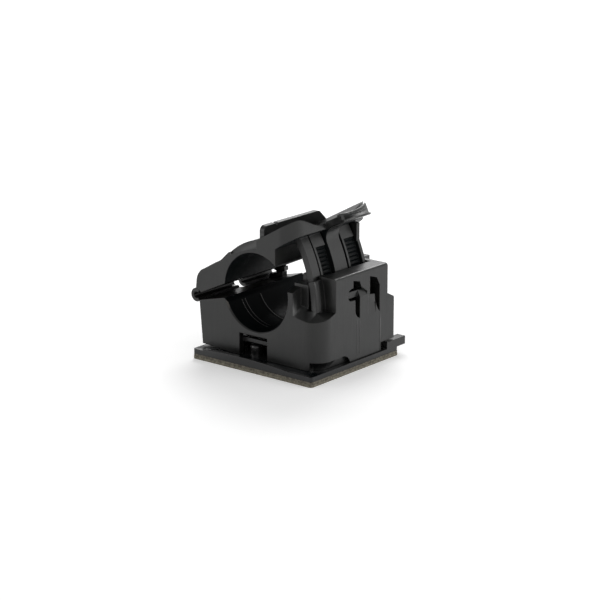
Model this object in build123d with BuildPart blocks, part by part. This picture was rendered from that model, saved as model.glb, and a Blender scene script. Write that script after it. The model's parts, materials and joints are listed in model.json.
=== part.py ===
"""Adhesive cable clip: a foam pad, a base plate and a box-shaped body with a hinged, ratcheting lid.

Millimetres. +Z is up, Y runs along the cable, X runs from the hinge to the latch tower.
The origin is the middle of the foam pad's adhesive underside. The lid is drawn partly open,
in the position where its half of the bore is round with the body's half.
"""
from math import cos, pi, radians, sin, sqrt, tan
import os

from build123d import *

os.makedirs("parts", exist_ok=True)

# Cable bore
bore_radius = 10.5
bore_wall = 1.6
bore_side_wall = 1.8
bore_rim_wall = 0.3
bore_chamfer = 0.35
under_bore = 7.15

# Body
left_deck = 7.8
housing_width = 8.6
body_depth = 32.0
body_lean = 1.05
body_corner = 4.8
body_lift = 0.05
tower_rise = 5.6
wall = 1.7
edge_round = 0.8
corner_gap_height = 0.6
corner_gap_length = 11.0

# Base plate, with the low lip along its front edge and the bar at its rear right
plate_left_margin = 0.3
plate_right_margin = 0.5
plate_front_margin = 3.65
plate_rear_margin = 0.85
plate_thickness = 1.3
plate_corner = 0.7
lip_start = 3.2
lip_end = 7.4
lip_height = 0.8
lip_depth = 1.1
lip_step = 0.6
sink = 0.3
bar_width = 2.6
bar_front_overlap = 4.0
bar_overhang = 3.05
bar_height = 1.9
peg_shift = 2.0
peg_set_back = 2.7
peg_radius = 1.6
peg_height = 3.0
foot_radius = 2.4
foot_height = 0.9

# Foam pad
pad_margin = 0.15
lower_foam = 0.72
upper_foam = 0.68
foam_step = 0.05

# Left deck, below the lid's edge
deck_drop = 5.4
deck_slope = 13.8
deck_end_rise = 0.5
deck_bevel = 1.5
deck_stop_inset = 0.4
deck_stop_reach = 4.8
deck_stop_length = 2.0
deck_stop_height = 1.35

# Right wall, housing and tower
wall_front_rise = 2.0
wall_back_rise = 3.05
housing_foot = 0.1
housing_drop = 1.8
housing_wall = 1.3
arc_wall = 1.05
arc_wall_top = 14.0
arc_rib = 0.3
tower_step = 1.8
ledge_left = (9.55, 7.4)
ledge_middle = (10.55, 8.5, 8.7)
ledge_right = (11.3, 10.05, 8.7)
shoulder_drop = 8.15
shoulder_slope = 26.6
shoulder_end = 0.8
shoulder_round = 1.2

# Living hinge
hinge_set_out = 1.15
hinge_rise = 1.2
loop_radius = 1.85
loop_wall = 1.0
loop_mouth = 52.0
hinge_gap_offset = 0.3
hinge_gap_length = 2.7
hinge_clearance = 0.05
hinge_notch_depth = 0.9
hinge_notch_width = 1.4

# Ratchet straps, turned about the hinge axis
strap_share = 0.442
strap_thickness = 1.8
strap_low_angle = -3.0
strap_high_angle = 33.5
tooth_top_angle = 26.5
tooth_pitch = 1.1
tooth_height = 0.65
channel_depth = 1.1
groove_depth = 1.1
slot_inner_clearance = 0.35
slot_outer_clearance = 1.4
slot_side_clearance = 0.4

# Bands across the straps, front to rear
front_rail = 3.0
front_groove = 0.5
thin_rail = 0.7
front_channel = 3.9
middle_groove_front = 0.7
centre_rail_width = 5.1
middle_groove_rear = 1.1
rear_channel = 4.3
rear_groove = 0.8
rear_rail = 1.0

# Release windows and the flexible flap between them
tower_wall = 2.2
pawl_clearance = 0.35
window_drop = 1.8
root_drop = 12.3
finger_a_offset = 3.0
finger_a_width = 2.9
finger_a_drop = 6.6
stem_width = 2.0
head_reach = 5.1
head_drop = 4.9
head_depth = 1.3
head_recess = 0.9
finger_b_offset = 0.2
finger_b_width = 2.6
finger_b_drop = 6.9
finger_b_lean = 0.45
slot_b_width = 1.7
nose_height = 1.8
nose_width = 1.4

# Front window of the body and its cross bar
window_shift = 5.6
window_width = 9.4
window_height = 6.0
cross_bar_rise = 3.5
cross_bar_height = 1.0
cross_bar_depth = 0.9
cross_bar_reach = 1.4

# Recess at the right foot, and the notch over the plate's bar
recess_length = 8.2
recess_curve = 3.8
recess_height = 2.1
recess_depth = 1.2
recess_start = 1.6
corner_web = 2.6
notch_length = 6.1
notch_height = 2.3
notch_depth = 2.9

# Lid: its top edge is given by the moulding's thickness outside the bore, and an angle
lid_brow = (2.5, 134.4)
lid_hump_low = (2.5, 118.5)
lid_hump_high = (2.8, 103.9)
lid_rise = (3.4, 88.8)
lid_step_end = (2.7, 143.3)
lid_step_mid = (3.1, 150.0)
lid_slope_end = (4.15, 156.2)
notch_left = (1.75, 134.0)
lid_bore_left = (0.0, 176.5)
notch_floor_wall = 1.2
lid_set_out = 1.2
lid_edge_width = 1.1
lid_edge_gap = 1.95
lid_heel = 1.25
lid_shoulder = (0.2, 5.2)
lid_shoulder_mid = (0.95, 7.3)
lid_slope_start = (2.95, 8.9)
lid_toe_length = 2.0
lid_toe_reach = 3.2
lid_toe_height = 1.9
flange_depth = 1.1
cell_wall = 1.5
cell_count = 3
cell_left = (2.35, 2.6)
cell_right = (8.15, 6.0)
cell_height = 4.6
cell_fall = 1.1

# Lid arm and the hollow between its raised front and rear edges
lid_block_margin = 3.9
arm_gap = 0.1
arm_underside_wall = 2.1
arm_underside_slope = 32.3
arm_thickness = 4.58
arm_top_slope = 30.0
arm_corner = 4.7
scoop_depth = 3.05
scoop_start = 1.9
scoop_bend = (1.85, 0.45)
scoop_fall = (4.5, 1.55)
scoop_foot = (7.1, 2.6)
scoop_floor = 14.1
scoop_slope = 0.45

# Bar across the lid's top
ridge_shift = 1.4
ridge_width = 1.5
ridge_inset_front = 3.4
ridge_inset_rear = 3.2
ridge_rise = 6.4
ridge_round = 1.5
ridge_bevel = 2.6
ridge_nick_start = 4.7
ridge_nick_width = 0.9
ridge_nick_depth = 0.35

# Middle rail's post, the gusset and the finger tab
centre_rail_rise = 0.3
post_bend = (0.25, 1.77)
post_flare = (1.8, 0.75)
gusset_width = 1.2
gusset_inset = 0.13
gusset_drop = 0.85
tab_slope = 24.5
tab_rise = 1.75
tab_length = 8.7
tab_corner = 7.4
tab_half_width = 5.6
tab_root_half_width = 3.1
tab_waist = (4.4, 3.9)
tab_thickness = 1.1
tab_lip = 0.55
tab_lip_reach = 0.5
tab_dish_radius = 26.0
tab_dish_depth = 0.6

# Heights, depths and lengths that follow
body_width = left_deck + 2 * bore_radius + bore_side_wall + housing_width
plate_length = body_width + plate_left_margin + plate_right_margin
plate_width = body_depth + plate_front_margin + plate_rear_margin
pad_length = plate_length + 2 * pad_margin
pad_width = plate_width + 2 * pad_margin
pad_top = lower_foam + upper_foam
plate_top = pad_top + plate_thickness
body_bottom = plate_top + body_lift
body_left = plate_left_margin - plate_length / 2
body_right = body_left + body_width
body_front = plate_front_margin - plate_width / 2
body_rear = body_front + body_depth
mid_y = body_front + body_depth / 2
bore_x = body_left + left_deck + bore_radius
bore_z = body_bottom + under_bore + bore_radius
body_top = bore_z + tower_rise
wall_inner_x = bore_x + bore_radius - bore_rim_wall
wall_outer_x = bore_x + bore_radius + bore_side_wall
deck_height = bore_z - deck_drop
deck_x = body_left - body_lean
deck_end_x = bore_x - bore_radius + deck_end_rise
deck_end_z = deck_height + (deck_end_x - deck_x) * tan(radians(deck_slope))
hinge_x = deck_x - hinge_set_out
hinge_z = deck_height + hinge_rise
hinge_gap_start = mid_y + hinge_gap_offset
strap_radius = wall_outer_x + strap_share * housing_width - hinge_x
strap_width = (front_rail + front_groove + thin_rail + front_channel + middle_groove_front + centre_rail_width
               + middle_groove_rear + thin_rail + rear_channel + rear_groove + rear_rail)
strap_start = mid_y - strap_width / 2
strap_end = strap_start + strap_width
front_channel_start = strap_start + front_rail + front_groove + thin_rail
centre_rail_start = front_channel_start + front_channel + middle_groove_front
centre_rail_end = centre_rail_start + centre_rail_width
rear_channel_start = centre_rail_end + middle_groove_rear + thin_rail
channels = ((front_channel_start, front_channel), (rear_channel_start, rear_channel))
grooves = ((strap_start + front_rail, front_groove),
           (centre_rail_start - middle_groove_front, middle_groove_front),
           (centre_rail_end, middle_groove_rear),
           (rear_channel_start + rear_channel, rear_groove))
housing_front = strap_start - slot_side_clearance - housing_wall
housing_x = hinge_x + strap_radius + slot_inner_clearance + arc_wall - housing_foot
housing_top = body_top - housing_drop
tower_front = strap_start + tower_step
shoulder_y = strap_end + slot_side_clearance + housing_wall
finger_a_start = centre_rail_start + finger_a_offset
finger_b_start = rear_channel_start + finger_b_offset
finger_root = body_top - root_drop
chamber_floor = finger_root - edge_round
lid_left = deck_x - lid_set_out
lid_edge_x = lid_left + lid_edge_width
lid_edge_z = deck_height + lid_edge_gap
lid_block_right = bore_x + bore_radius - lid_block_margin
arm_right = wall_outer_x + arm_gap
arm_underside = bore_z + bore_radius + arm_underside_wall
arm_low = arm_underside + (arm_right - lid_block_right) * tan(radians(arm_underside_slope))
arm_top = arm_low + arm_thickness
ridge_x = bore_x - ridge_shift
ridge_front = body_front + ridge_inset_front
ridge_rear = body_rear - ridge_inset_rear
ridge_top = bore_z + bore_radius + ridge_rise


def across(y):
    """The plane at depth y whose sketch axes are X and Z."""
    return Plane(origin=(0, y, 0), x_dir=(1, 0, 0), z_dir=(0, -1, 0))


def beside(x):
    """The plane at x whose sketch axes are Y and Z."""
    return Plane(origin=(x, 0, 0), x_dir=(0, 1, 0), z_dir=(1, 0, 0))


def on_arc(radius, angle):
    """A point in X and Z on a circle about the hinge axis."""
    return (hinge_x + radius * cos(radians(angle)), hinge_z + radius * sin(radians(angle)))


def around(point):
    """A point in X and Z outside the bore, from a wall thickness and an angle."""
    radius = bore_radius + point[0]
    return (bore_x + radius * cos(radians(point[1])), bore_z + radius * sin(radians(point[1])))


def by_hinge(point):
    """A point in X and Z from the lid's left face and the deck's height."""
    return (lid_left + point[0], deck_height + point[1])


def sector(inner, outer, low, high):
    """Draws a ring sector about the hinge axis in the current sketch."""
    with BuildLine() as edge:
        CenterArc((hinge_x, hinge_z), inner, low, high - low)
        CenterArc((hinge_x, hinge_z), outer, low, high - low)
        Line(on_arc(inner, low), on_arc(outer, low))
        Line(on_arc(inner, high), on_arc(outer, high))
    make_face(edge.edges())


def curved_bar(radii, angles, y, mode=Mode.ADD):
    """Adds or cuts a ring sector about the hinge axis between two depths."""
    with BuildSketch(across(y[0])) as outline:
        sector(radii[0], radii[1], angles[0], angles[1])
    extrude(outline.sketch, amount=y[0] - y[1], mode=mode)


def block(x, y, z, mode=Mode.ADD):
    """Adds or cuts the box between three pairs of limits."""
    with Locations(((x[0] + x[1]) / 2, (y[0] + y[1]) / 2, (z[0] + z[1]) / 2)):
        Box(x[1] - x[0], y[1] - y[0], z[1] - z[0], mode=mode)


def prism_y(points, y, mode=Mode.ADD):
    """Extrudes an outline of X and Z points between two depths."""
    with BuildSketch(across(y[0])) as outline:
        with BuildLine() as edge:
            Polyline(*points, close=True)
        make_face(edge.edges())
    extrude(outline.sketch, amount=y[0] - y[1], mode=mode)


def prism_x(points, x, mode=Mode.ADD):
    """Extrudes an outline of Y and Z points between two values of X."""
    with BuildSketch(beside(x[0])) as outline:
        with BuildLine() as edge:
            Polyline(*points, close=True)
        make_face(edge.edges())
    extrude(outline.sketch, amount=x[1] - x[0], mode=mode)


# Foam pad in two layers
with BuildPart() as foam_layer_lower:
    with BuildSketch():
        RectangleRounded(pad_length, pad_width, plate_corner)
    extrude(amount=lower_foam)
foam_layer_lower.part.label = "foam_layer_lower"
export_step(foam_layer_lower.part, "parts/foam_layer_lower.step")

with BuildPart() as foam_layer_upper:
    with BuildSketch(Plane.XY.offset(lower_foam)):
        RectangleRounded(pad_length - 2 * foam_step, pad_width - 2 * foam_step, plate_corner)
    extrude(amount=upper_foam)
foam_layer_upper.part.label = "foam_layer_upper"
export_step(foam_layer_upper.part, "parts/foam_layer_upper.step")


# Base plate
def front_lip():
    """The low crowned lip along the plate's front edge."""
    front = -plate_width / 2
    left = lip_start - plate_length / 2
    right = plate_length / 2 - lip_end
    with BuildSketch(across(front)) as outline:
        with BuildLine() as edge:
            crown = (left + (right - left) * 0.38, plate_top + lip_height)
            step = (left + lip_step, plate_top + lip_height / 2)
            Polyline((left, plate_top - sink), (left, plate_top), step)
            ThreePointArc(step, crown, (right, plate_top))
            Polyline((right, plate_top), (right, plate_top - sink), (left, plate_top - sink))
        make_face(edge.edges())
    extrude(outline.sketch, amount=-lip_depth)


def rear_bar():
    """The bar at the rear right that overhangs the plate's edge."""
    block((plate_length / 2 - bar_width, plate_length / 2),
          (body_rear - bar_front_overlap, plate_width / 2 + bar_overhang),
          (plate_top - sink, plate_top + bar_height))


with BuildPart() as base_plate:
    with BuildSketch(Plane.XY.offset(pad_top)):
        RectangleRounded(plate_length, plate_width, plate_corner)
    extrude(amount=plate_thickness)
    front_lip()
    rear_bar()
    with Locations((bore_x - peg_shift, body_front + peg_set_back, plate_top)):
        Cylinder(peg_radius, peg_height, align=(Align.CENTER, Align.CENTER, Align.MIN))
    fillet(base_plate.edges().filter_by(GeomType.CIRCLE).group_by(Axis.Z)[-1], peg_radius * 0.45)
    with Locations((body_right - body_corner, body_front + body_corner, plate_top)):
        Cylinder(foot_radius, foot_height, align=(Align.CENTER, Align.CENTER, Align.MIN))
base_plate.part.label = "base_plate"
export_step(base_plate.part, "parts/base_plate.step")


# Body
def body_outline():
    """The full-height block with its leaning left side."""
    inside_bore = (bore_x, bore_z)
    prism_y([(body_left, body_bottom), (body_right, body_bottom), (body_right, body_top),
             (wall_inner_x, body_top), (wall_inner_x, bore_z), inside_bore, (deck_end_x, deck_end_z),
             (deck_x, deck_height)], (body_front, body_rear))


def deck_edge():
    """The bevel between the deck and the bore."""
    right = deck_end_x - deck_bevel / 2
    low = deck_end_z - deck_bevel
    prism_y([(right, deck_end_z), (right + deck_bevel, low), (bore_x, low), (bore_x, bore_z),
             (right, bore_z)],
            (body_front - 1, body_rear + 1), Mode.SUBTRACT)


def deck_stop():
    """The low stop on the deck, in front of the lid's toe."""
    rise = tan(radians(deck_slope))
    left = deck_x + deck_stop_inset
    right = left + deck_stop_reach
    low, high = deck_height + (left - deck_x) * rise, deck_height + (right - deck_x) * rise
    rear = body_rear - lid_toe_length - 0.2
    prism_y([(left, low - sink), (right, high - sink), (right, high + deck_stop_height),
             (left, low + deck_stop_height)], (rear - deck_stop_length, rear))


def round_corners():
    """The broad round front right corner and the nearly square rear one."""
    corners = clip_body.edges().filter_by(Axis.Z).group_by(Axis.X)[-1].sort_by(Axis.Y)
    fillet(corners[0], body_corner)
    corners = clip_body.edges().filter_by(Axis.Z).group_by(Axis.X)[-1].sort_by(Axis.Y)
    fillet(corners[-1], edge_round)


def ledge_cut(x_near, near, x_far, far, back):
    """Cuts the open corner over the ledge, whose drops below the top are given at two values of X."""
    sections = []
    over = 2 * body_corner
    for x, drops in ((x_near, near), (x_far, far)):
        depths = (body_front, housing_front, back)[:len(drops)]
        rise = (drops[0] - drops[1]) / (housing_front - body_front)
        floor = [(y, body_top - drop) for y, drop in zip(depths, drops)]
        before = (body_front - over, body_top - drops[0] - rise * over)
        with BuildSketch(beside(x)) as outline:
            with BuildLine() as edge:
                Polyline(before, *floor, (floor[-1][0], body_top + over), (before[0], body_top + over), close=True)
            make_face(edge.edges())
        sections.append(outline.sketch)
    loft(sections, ruled=True, mode=Mode.SUBTRACT)


def pocket_front():
    """The open corner over the sloping front ledge, in front of the housing and the tower."""
    over = body_corner
    ledge_cut(wall_outer_x, ledge_left, housing_x, ledge_middle[:2], housing_front)
    reach = (body_right + over - housing_x) / (body_right - housing_x)
    outside = [middle + (right - middle) * reach for middle, right in zip(ledge_middle, ledge_right)]
    ledge_cut(housing_x, ledge_middle, body_right + over, outside, tower_front)
    block((wall_inner_x - 1, housing_x + 1), (body_front - 1, tower_front), (housing_top, body_top + 1),
          Mode.SUBTRACT)


def housing_side():
    """The housing's right side is a wall curved about the hinge, with a rib on it."""
    inner = strap_radius - bore_rim_wall
    outer = strap_radius + slot_inner_clearance + arc_wall
    block((on_arc(inner, arc_wall_top)[0], housing_x + sink), (housing_front - 1, tower_front),
          (body_top - ledge_middle[1] + 0.1, body_top + 1), Mode.SUBTRACT)
    curved_bar((inner, outer), (0, arc_wall_top), (housing_front, tower_front + wall))
    rib = housing_front + housing_wall
    curved_bar((inner, outer + arc_rib), (0, arc_wall_top), (rib, rib + 2 * arc_rib))


def shoulder_rear():
    """The sloping shoulder behind the tower, turned down at its end."""
    fall = tan(radians(shoulder_slope))
    top = body_top - shoulder_drop
    bend = body_rear - shoulder_end
    low = top - (bend - shoulder_y) * fall
    past = body_rear + 1
    prism_x([(shoulder_y, top), (bend, low), (body_rear, low - shoulder_round), (past, low - shoulder_round),
             (past, body_top + 1), (shoulder_y, body_top + 1)], (wall_outer_x, body_right + 1), Mode.SUBTRACT)


def wall_end():
    """The thin wall beside the bore slants down to its front end."""
    slant = (wall_back_rise - wall_front_rise) / (housing_front - body_front)
    top = body_top + 1
    prism_x([(body_front - 1, bore_z + wall_front_rise - slant), (housing_front, bore_z + wall_back_rise),
             (housing_front, top), (body_front - 1, top)], (bore_x, wall_outer_x), Mode.SUBTRACT)


def bore(radius, start, end, mode=Mode.SUBTRACT):
    """A cylinder on the cable's axis."""
    with BuildSketch(across(start)) as outline:
        with Locations((bore_x, bore_z)):
            Circle(radius)
    extrude(outline.sketch, amount=start - end, mode=mode)


def bore_rim():
    """The small chamfer round the bore's front end."""
    with BuildSketch(across(body_front)) as outline:
        with Locations((bore_x, bore_z)):
            Circle(bore_radius + bore_chamfer)
    extrude(outline.sketch, amount=-bore_chamfer, taper=45, mode=Mode.SUBTRACT)


def hollow():
    """The chambers under the deck, the bore's tube and the ledge, open to the plate."""
    inner_left = body_left + wall
    ceiling = chamber_floor + 0.2
    roof = (deck_x + wall + 0.6, deck_height - wall + 0.5)
    with BuildSketch(across(body_front + wall)) as outline:
        with BuildLine() as edge:
            Polyline((inner_left, body_bottom - 1), (body_right - wall, body_bottom - 1),
                     (body_right - wall, ceiling), (bore_x, ceiling), (deck_end_x, deck_end_z - wall),
                     roof, close=True)
        make_face(edge.edges())
        with Locations((bore_x, bore_z)):
            Circle(bore_radius + bore_wall, mode=Mode.SUBTRACT)
    extrude(outline.sketch, amount=-(body_depth - 2 * wall), mode=Mode.SUBTRACT)
    right, front = body_right - wall, body_front + wall
    with BuildSketch(Plane.XY.offset(body_bottom)) as web:
        with BuildLine() as edge:
            Polyline((right + sink, front - sink), (right + sink, front + corner_web),
                     (right, front + corner_web), (right - corner_web, front),
                     (right - corner_web, front - sink),
                     close=True)
        make_face(edge.edges())
    extrude(web.sketch, amount=ceiling - body_bottom + sink)


def strap_slot():
    """The curved slot that the lid's straps run down, and the room for the pawls outside it."""
    inner = strap_radius - strap_thickness - slot_inner_clearance
    start, end = strap_start - slot_side_clearance, strap_end + slot_side_clearance
    angles = (strap_low_angle - 15, 24)
    curved_bar((inner, strap_radius + slot_inner_clearance), angles, (start, end), Mode.SUBTRACT)
    curved_bar((inner, strap_radius + slot_outer_clearance), angles, (tower_front + wall, end), Mode.SUBTRACT)


def window_a(outside):
    """The front window: an upright slot, a round end for the hammer head and a narrow stem below."""
    y, width = finger_a_start, finger_a_width
    top, head = body_top - window_drop, body_top - head_drop
    flap = body_top - finger_a_drop
    stem = y - stem_width
    low = (stem - stem_width, flap - 0.4)
    with BuildSketch(beside(outside[0])) as outline:
        with BuildLine() as edge:
            Polyline(low, (stem, flap - 0.5), (stem + 0.1, finger_root + 2.0))
            ThreePointArc((stem + 0.1, finger_root + 2.0), (stem + 0.7, finger_root + 0.8), (y, finger_root))
            Polyline((y, finger_root), (y, flap), (y + width, flap - 0.1), (y + width + 0.1, flap + 0.9),
                     (y + 1.6, head + 0.2), (y + 0.5, head + 0.9), (y - 0.1, top - 0.7), (stem - 0.8, top),
                     (stem - 0.9, head + 1.1))
            ThreePointArc((stem - 0.9, head + 1.1), (y - head_reach, head - 0.5), low)
        make_face(edge.edges())
    extrude(outline.sketch, amount=outside[1] - outside[0], mode=Mode.SUBTRACT)


def window_b(outside):
    """The rear window: an opening over the flap's low end, with a slot down its far side."""
    y, far = finger_b_start, finger_b_start + finger_b_width
    top, flap = body_top - window_drop - 0.2, body_top - finger_b_drop
    with BuildSketch(beside(outside[0])) as outline:
        with BuildLine() as edge:
            Polyline((y, flap), (y, top), (far + 0.3, top - 0.9), (far + slot_b_width - 0.1, top - 3.1),
                     (far + slot_b_width, finger_root))
            ThreePointArc((far + slot_b_width, finger_root), (far + 0.6, finger_root + 1.2),
                          (far, finger_root + 4.0))
            Polyline((far, finger_root + 4.0), (far, flap - 0.4), (y, flap))
        make_face(edge.edges())
    extrude(outline.sketch, amount=outside[1] - outside[0], mode=Mode.SUBTRACT)


def release_windows():
    """The two windows in the tower's outer wall, over the pawl chamber behind them."""
    inner = body_right - tower_wall
    outside = (inner - 1, body_right + 1)
    rear = finger_b_start + finger_b_width + slot_b_width + sink
    block((housing_x, inner), (finger_a_start - head_reach - sink, rear), (chamber_floor, body_top - window_drop),
          Mode.SUBTRACT)
    window_a(outside)
    window_b(outside)
    start, top = finger_b_start - 0.5, body_top - finger_b_drop
    prism_y([(body_right + 1, finger_root), (body_right, finger_root), (body_right - finger_b_lean, top + 0.2),
             (body_right + 1, top + 0.2)], (start, finger_b_start + finger_b_width), Mode.SUBTRACT)


def pawls():
    """The hammer head of one finger and the noses that reach the teeth."""
    inner = body_right - tower_wall
    reach = strap_radius + pawl_clearance
    head, flap = body_top - head_drop, body_top - finger_a_drop
    far = finger_a_start + finger_a_width
    prism_y([(inner - head_depth, flap - 0.6), (body_right, flap - 0.6), (body_right, flap),
             (body_right - head_recess, head), (inner - head_depth, head)], (finger_a_start, far))
    block((inner - head_depth, body_right - head_recess), (finger_a_start - head_reach + 0.5, finger_a_start),
          (flap, head))
    top_b = body_top - finger_b_drop
    block((inner - head_depth, inner + 0.6), (finger_b_start, finger_b_start + finger_b_width),
          (top_b - nose_height - 0.6, top_b - 0.4))
    for y, z in ((finger_a_start - head_reach + 0.5, head - nose_height),
                 (finger_b_start + 0.5, top_b - 0.4 - nose_height)):
        tip = hinge_x + sqrt(reach ** 2 - (z - hinge_z) ** 2)
        root = inner - head_depth + 0.1
        prism_y([(root, z), (tip, z), ((tip + root) / 2, z + nose_height), (root, z + nose_height)],
                (y, y + nose_width))


def front_window():
    """The window under the bore and the cross bar behind it."""
    left = bore_x - window_shift
    back = body_front + wall
    bar = plate_top + cross_bar_rise
    block((left, left + window_width), (body_front - 1, back + 0.1), (body_bottom - 1, plate_top + window_height),
          Mode.SUBTRACT)
    block((left - cross_bar_reach, left + window_width + cross_bar_reach), (back, back + cross_bar_depth),
          (bar, bar + cross_bar_height))


def foot_recess():
    """The low recess that runs round the front right corner and ends in a curve."""
    centre_x, centre_y = body_right - body_corner, body_front + body_corner
    top = body_bottom + recess_height
    with BuildSketch(Plane.XY.offset(body_bottom - 0.5)) as outline:
        with Locations((centre_x, centre_y)):
            Circle(body_corner + 2)
            Circle(body_corner - recess_depth, mode=Mode.SUBTRACT)
        with Locations((centre_x + recess_start, centre_y)):
            Rectangle(3 * body_corner, 3 * body_corner, align=(Align.MIN, Align.MAX), mode=Mode.INTERSECT)
    extrude(outline.sketch, amount=recess_height + 0.5, mode=Mode.SUBTRACT)
    bend = centre_y + recess_length - recess_curve
    with BuildSketch(beside(body_right - recess_depth)) as outline:
        with BuildLine() as edge:
            end = (bend + recess_curve, body_bottom - 0.5)
            Polyline((centre_y - sink, body_bottom - 0.5), (centre_y - sink, top), (bend, top))
            ThreePointArc((bend, top), (bend + recess_curve * 0.8, top - recess_height * 0.45), end)
            Line(end, (centre_y - sink, body_bottom - 0.5))
        make_face(edge.edges())
    extrude(outline.sketch, amount=3, mode=Mode.SUBTRACT)


def bar_notch():
    """The notch that clears the plate's bar."""
    block((body_right - notch_depth, body_right + 1), (body_rear - notch_length, body_rear + 1),
          (body_bottom - 1, body_bottom + notch_height), Mode.SUBTRACT)


def low_left_gap():
    """The body's left end stands a little clear of the plate."""
    prism_y([(body_left - 1, body_bottom - 1), (body_left - 1, body_bottom + corner_gap_height),
             (body_left, body_bottom + corner_gap_height), (body_left + corner_gap_length, body_bottom),
             (body_left + corner_gap_length, body_bottom - 1)], (body_front - 1, body_rear + 1), Mode.SUBTRACT)


def hinge_clearances():
    """The deck's edge is rounded for the hinge loops and notched at the gap between them."""
    with BuildSketch(across(body_front - 1)) as outline:
        with Locations((hinge_x, hinge_z)):
            Circle(loop_radius)
    extrude(outline.sketch, amount=-(body_depth + 2), mode=Mode.SUBTRACT)
    block((deck_x - 1, deck_x + hinge_notch_width), (hinge_gap_start, hinge_gap_start + hinge_gap_length),
          (deck_height - hinge_notch_depth, deck_height + 2), Mode.SUBTRACT)


with BuildPart() as clip_body:
    body_outline()
    round_corners()
    pocket_front()
    housing_side()
    shoulder_rear()
    wall_end()
    hollow()
    bore(bore_radius, body_front - 1, body_rear + 1)
    bore_rim()
    strap_slot()
    release_windows()
    pawls()
    front_window()
    foot_recess()
    bar_notch()
    low_left_gap()
    deck_edge()
    deck_stop()
    tower_edges = clip_body.edges().filter_by(Axis.Y)
    tower_edges = tower_edges.filter_by_position(Axis.Z, body_top - 0.01, body_top + 0.01)
    fillet(tower_edges.group_by(Axis.X)[-1], min(edge_round, tower_wall / 3))
    hinge_clearances()
clip_body.part.label = "clip_body"
export_step(clip_body.part, "parts/clip_body.step")


# Living hinge, in two lengths with a gap between them
def hinge_loop(start, end):
    """One length of the C-shaped hinge loop."""
    with BuildSketch(across(start)) as outline:
        sector(loop_radius - loop_wall, loop_radius, loop_mouth, 360 - loop_mouth)
    extrude(outline.sketch, amount=start - end)


with BuildPart() as hinge_loop_front:
    hinge_loop(body_front, hinge_gap_start)
hinge_loop_front.part.label = "hinge_loop_front"
export_step(hinge_loop_front.part, "parts/hinge_loop_front.step")

with BuildPart() as hinge_loop_rear:
    hinge_loop(hinge_gap_start + hinge_gap_length, body_rear)
hinge_loop_rear.part.label = "hinge_loop_rear"
export_step(hinge_loop_rear.part, "parts/hinge_loop_rear.step")


# Lid
def lid_section(y, notched):
    """The lid's section between two depths, with or without the notch in its top edge."""
    bore_left = around(lid_bore_left)
    bore_right = (lid_block_right, bore_z + sqrt(bore_radius ** 2 - (lid_block_right - bore_x) ** 2))
    crown = (lid_block_right, arm_top - (arm_right - lid_block_right) * tan(radians(arm_top_slope)))
    notch_floor = bore_z + bore_radius + notch_floor_wall
    rise = around(lid_rise)
    with BuildSketch(across(y[0])) as outline:
        with BuildLine() as edge:
            Line((lid_edge_x, lid_edge_z), bore_left)
            ThreePointArc(bore_left, (bore_x, bore_z + bore_radius), bore_right)
            Polyline(bore_right, (lid_block_right, arm_underside), (arm_right, arm_low), (arm_right, arm_top),
                     crown, rise)
            if notched:
                Polyline(rise, (rise[0], notch_floor), around(notch_left), around(lid_brow))
            else:
                Spline(rise, around(lid_hump_high), around(lid_hump_low), around(lid_brow))
            Line(around(lid_brow), around(lid_step_end))
            ThreePointArc(around(lid_step_end), around(lid_step_mid), around(lid_slope_end))
            Line(around(lid_slope_end), by_hinge(lid_slope_start))
            ThreePointArc(by_hinge(lid_slope_start), by_hinge(lid_shoulder_mid), by_hinge(lid_shoulder))
            Polyline(by_hinge(lid_shoulder), (lid_left, lid_edge_z + lid_heel), (lid_left, lid_edge_z),
                     (lid_edge_x, lid_edge_z))
        make_face(edge.edges())
    extrude(outline.sketch, amount=y[0] - y[1])


def lid_toe():
    """The toe under the rear end of the lid's left edge, which meets the deck when the lid is shut."""
    right = lid_edge_x + lid_toe_reach
    prism_y([(lid_edge_x, lid_edge_z), (right, lid_edge_z), (right, lid_edge_z + lid_toe_height),
             (lid_edge_x, lid_edge_z + sink)], (body_rear - lid_toe_length, body_rear))


def arm_plan():
    """The arm's right end has round corners in plan."""
    with BuildSketch(Plane.XY.offset(body_bottom)) as outline:
        with BuildLine() as edge:
            left, right = lid_left - 10, arm_right
            front, rear, r = body_front, body_rear, arm_corner
            Polyline((right - r, front), (left, front), (left, rear), (right - r, rear))
            RadiusArc((right - r, rear), (right, rear - r), r)
            Line((right, rear - r), (right, front + r))
            RadiusArc((right, front + r), (right - r, front), r)
        make_face(edge.edges())
    extrude(outline.sketch, amount=2 * arm_top, mode=Mode.INTERSECT)


def scoop_side(end, turn):
    """One side of the hollow's section, from the lid's end at a depth towards its middle."""
    start = (end + turn * scoop_start, arm_top)
    bend = (start[0] + turn * scoop_bend[0], arm_top - scoop_bend[1])
    fall = (start[0] + turn * scoop_fall[0], arm_top - scoop_fall[1])
    foot = (start[0] + turn * scoop_foot[0], arm_top - scoop_foot[1])
    floor = (mid_y, arm_top - scoop_depth)
    Spline(start, bend, fall, foot, floor, tangents=[(turn, -0.1), (turn, 0)])
    Line(start, (start[0], arm_top + body_corner))


def top_scoop():
    """The hollow between the lid's raised front and rear edges."""
    with BuildSketch(beside(arm_right)) as outline:
        with BuildLine() as edge:
            scoop_side(body_front, 1)
            scoop_side(body_rear, -1)
            Line((body_front + scoop_start, arm_top + body_corner),
                 (body_rear - scoop_start, arm_top + body_corner))
        make_face(edge.edges())
    extrude(outline.sketch, amount=-scoop_floor, dir=(1, 0, scoop_slope), mode=Mode.SUBTRACT)


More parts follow.
